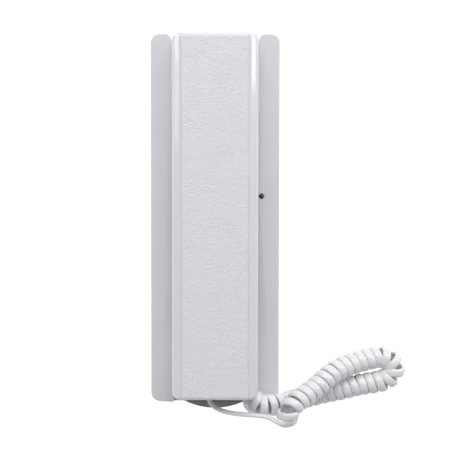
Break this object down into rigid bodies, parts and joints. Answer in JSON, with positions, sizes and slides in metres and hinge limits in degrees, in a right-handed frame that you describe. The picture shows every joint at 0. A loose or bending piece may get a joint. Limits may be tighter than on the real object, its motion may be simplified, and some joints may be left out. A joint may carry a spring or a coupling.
{
  "type": "wall telephone",
  "caption": "Slim wall telephone with a leather-grained handset cradled between two side wings, keys on the handset's inner face and a curly cord.",
  "frame": {"origin": "middle of the flat back, on the wall plane", "axes": "+Z out of the wall, +Y up the wall towards the earpiece end, +X to the right seen from the front"},
  "size_m": [0.152, 0.2306, 0.045],
  "materials": {
    "casing": "satin moulded plastic, leather grain on the handset's face",
    "key": "satin keys",
    "board": "solder-masked circuit board",
    "black_plastic": "matt black moulding",
    "steel": "zinc-plated steel",
    "rubber": "soft matt rubber",
    "lamp_lens": "dark smoked lens",
    "jack_plastic": "modular socket moulding",
    "lead": "insulated hook-up wire",
    "cord": "smooth soft vinyl",
    "plug": "clear modular plug moulding"
  },
  "bodies": {
    "base": {"rear_cover": "casing", "base_shell": "casing", "base_pcb": "board", "base_leads": "lead", "ringer_disc": "black_plastic", "hook_spring": "steel", "hook_switch": "black_plastic", "hanger_tab": "casing", "ring_lamp": "lamp_lens", "chin_bumper": "rubber", "line_jack": "jack_plastic", "base_cord_jack": "jack_plastic", "slide_switches": "black_plastic", "base_screws": "steel", "pcb_screws": "steel", "cord_coil": "cord", "base_tail": "cord", "base_plug": "plug", "handset_tail": "cord"},
    "handset": {"handset_outer_shell": "casing", "handset_inner_shell": "casing", "receiver": "black_plastic", "receiver_gasket": "rubber", "receiver_leads": "lead", "microphone": "steel", "mic_boot": "rubber", "mic_leads": "lead", "handset_pcb": "board", "keypad_mat": "rubber", "handset_cord_jack": "jack_plastic", "handset_screws": "steel", "handset_plug": "plug"},
    "hook": {"hook_plunger": "casing"},
    "ringer_switch": {"ringer_switch_knob": "black_plastic"},
    "tone_switch": {"tone_switch_knob": "black_plastic"},
    "key_1_cap": {"key_1": "key"},
    "key_2_cap": {"key_2": "key"},
    "key_3_cap": {"key_3": "key"},
    "key_4_cap": {"key_4": "key"},
    "key_5_cap": {"key_5": "key"},
    "key_6_cap": {"key_6": "key"},
    "key_7_cap": {"key_7": "key"},
    "key_8_cap": {"key_8": "key"},
    "key_9_cap": {"key_9": "key"},
    "key_star_cap": {"key_star": "key"},
    "key_0_cap": {"key_0": "key"},
    "key_hash_cap": {"key_hash": "key"},
    "key_redial_cap": {"key_redial": "key"},
    "key_flash_cap": {"key_flash": "key"},
    "key_mute_cap": {"key_mute": "key"}
  },
  "joints": [
    {"name": "handset_lift", "type": "slide", "parent": "base", "child": "handset", "axis": [0, 0, 1], "range_m": [0, 0.04]},
    {"name": "hook_rise", "type": "slide", "parent": "base", "child": "hook", "axis": [0, 0, 1], "range_m": [0, 0.004], "stiffness_N_per_m": 60, "springref_m": 0.006, "deforming": ["hook_spring"]},
    {"name": "ringer_slide", "type": "slide", "parent": "base", "child": "ringer_switch", "axis": [0, 1, 0], "range_m": [0, 0.004]},
    {"name": "tone_slide", "type": "slide", "parent": "base", "child": "tone_switch", "axis": [0, 1, 0], "range_m": [0, 0.004]},
    {"name": "press_1", "type": "slide", "parent": "handset", "child": "key_1_cap", "axis": [0, 0, 1], "range_m": [0, 0.0008], "stiffness_N_per_m": 400, "springref_m": -0.0003},
    {"name": "press_2", "type": "slide", "parent": "handset", "child": "key_2_cap", "axis": [0, 0, 1], "range_m": [0, 0.0008], "stiffness_N_per_m": 400, "springref_m": -0.0003},
    {"name": "press_3", "type": "slide", "parent": "handset", "child": "key_3_cap", "axis": [0, 0, 1], "range_m": [0, 0.0008], "stiffness_N_per_m": 400, "springref_m": -0.0003},
    {"name": "press_4", "type": "slide", "parent": "handset", "child": "key_4_cap", "axis": [0, 0, 1], "range_m": [0, 0.0008], "stiffness_N_per_m": 400, "springref_m": -0.0003},
    {"name": "press_5", "type": "slide", "parent": "handset", "child": "key_5_cap", "axis": [0, 0, 1], "range_m": [0, 0.0008], "stiffness_N_per_m": 400, "springref_m": -0.0003},
    {"name": "press_6", "type": "slide", "parent": "handset", "child": "key_6_cap", "axis": [0, 0, 1], "range_m": [0, 0.0008], "stiffness_N_per_m": 400, "springref_m": -0.0003},
    {"name": "press_7", "type": "slide", "parent": "handset", "child": "key_7_cap", "axis": [0, 0, 1], "range_m": [0, 0.0008], "stiffness_N_per_m": 400, "springref_m": -0.0003},
    {"name": "press_8", "type": "slide", "parent": "handset", "child": "key_8_cap", "axis": [0, 0, 1], "range_m": [0, 0.0008], "stiffness_N_per_m": 400, "springref_m": -0.0003},
    {"name": "press_9", "type": "slide", "parent": "handset", "child": "key_9_cap", "axis": [0, 0, 1], "range_m": [0, 0.0008], "stiffness_N_per_m": 400, "springref_m": -0.0003},
    {"name": "press_star", "type": "slide", "parent": "handset", "child": "key_star_cap", "axis": [0, 0, 1], "range_m": [0, 0.0008], "stiffness_N_per_m": 400, "springref_m": -0.0003},
    {"name": "press_0", "type": "slide", "parent": "handset", "child": "key_0_cap", "axis": [0, 0, 1], "range_m": [0, 0.0008], "stiffness_N_per_m": 400, "springref_m": -0.0003},
    {"name": "press_hash", "type": "slide", "parent": "handset", "child": "key_hash_cap", "axis": [0, 0, 1], "range_m": [0, 0.0008], "stiffness_N_per_m": 400, "springref_m": -0.0003},
    {"name": "press_redial", "type": "slide", "parent": "handset", "child": "key_redial_cap", "axis": [0, 0, 1], "range_m": [0, 0.0008], "stiffness_N_per_m": 400, "springref_m": -0.0003},
    {"name": "press_flash", "type": "slide", "parent": "handset", "child": "key_flash_cap", "axis": [0, 0, 1], "range_m": [0, 0.0008], "stiffness_N_per_m": 400, "springref_m": -0.0003},
    {"name": "press_mute", "type": "slide", "parent": "handset", "child": "key_mute_cap", "axis": [0, 0, 1], "range_m": [0, 0.0008], "stiffness_N_per_m": 400, "springref_m": -0.0003}
  ],
  "couplings": [
    {"joint": "hook_rise", "follows": "handset_lift", "ratio": 0.1}
  ]
}
